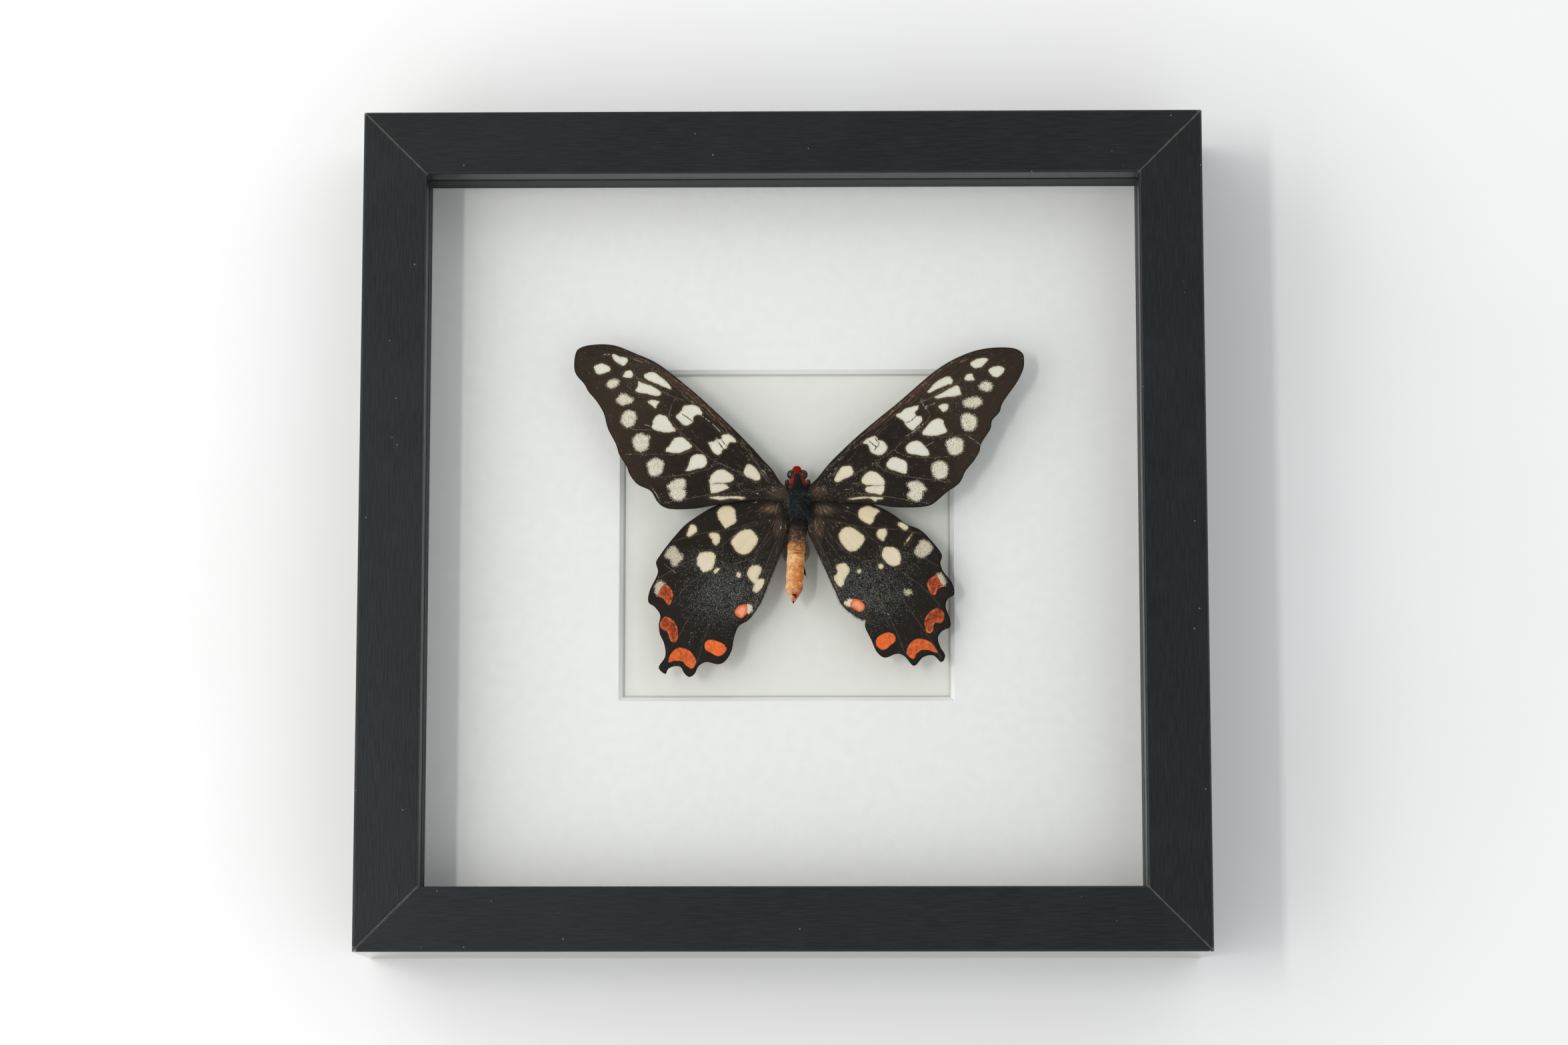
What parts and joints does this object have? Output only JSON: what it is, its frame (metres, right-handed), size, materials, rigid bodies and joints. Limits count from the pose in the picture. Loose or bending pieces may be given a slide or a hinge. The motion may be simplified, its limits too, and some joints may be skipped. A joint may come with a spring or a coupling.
{
  "type": "framed butterfly specimen",
  "caption": "Spread swallowtail butterfly specimen in a square, deep, black box frame with glass and a white window mat.",
  "frame": {"origin": "middle of the back, on the plane that the rails' back edges lie on", "axes": "+Z out of the glass, +Y towards the top of the picture, +X towards its right side"},
  "size_m": [0.25, 0.25, 0.045],
  "materials": {
    "rail": "matt black lacquer with a fine grain",
    "glass": "clear and polished",
    "spacer": "matt black paper",
    "mat": "matt white, with a white bevel",
    "card": "matt",
    "rear_spacer": "raw softwood",
    "back_panel": "hardboard",
    "steel": "zinc plated",
    "block": "cork",
    "body": "furry thorax, smooth ochre abdomen",
    "forewing": "fine matt scales, dark brown with cream spots",
    "hindwing": "fine matt scales, black with cream and orange spots",
    "leg": "satin shell"
  },
  "bodies": {
    "root": {"rail_top": "rail", "rail_bottom": "rail", "rail_left": "rail", "rail_right": "rail", "glass_pane": "glass", "front_spacer_top": "spacer", "front_spacer_bottom": "spacer", "front_spacer_left": "spacer", "front_spacer_right": "spacer", "mat_board": "mat", "backing_card": "card", "rear_spacer_top": "rear_spacer", "rear_spacer_bottom": "rear_spacer", "rear_spacer_left": "rear_spacer", "rear_spacer_right": "rear_spacer", "back_panel": "back_panel", "retaining_tab_1": "steel", "retaining_tab_2": "steel", "retaining_tab_3": "steel", "retaining_tab_4": "steel", "retaining_tab_5": "steel", "retaining_tab_6": "steel", "retaining_tab_7": "steel", "retaining_tab_8": "steel", "hanger_plate": "steel", "hanger_rivet_left": "steel", "hanger_rivet_right": "steel", "mounting_block": "block", "butterfly_body": "body", "hind_leg": "leg", "forewing_left": "forewing", "forewing_right": "forewing", "hindwing_left": "hindwing", "hindwing_right": "hindwing"}
  },
  "joints": []
}
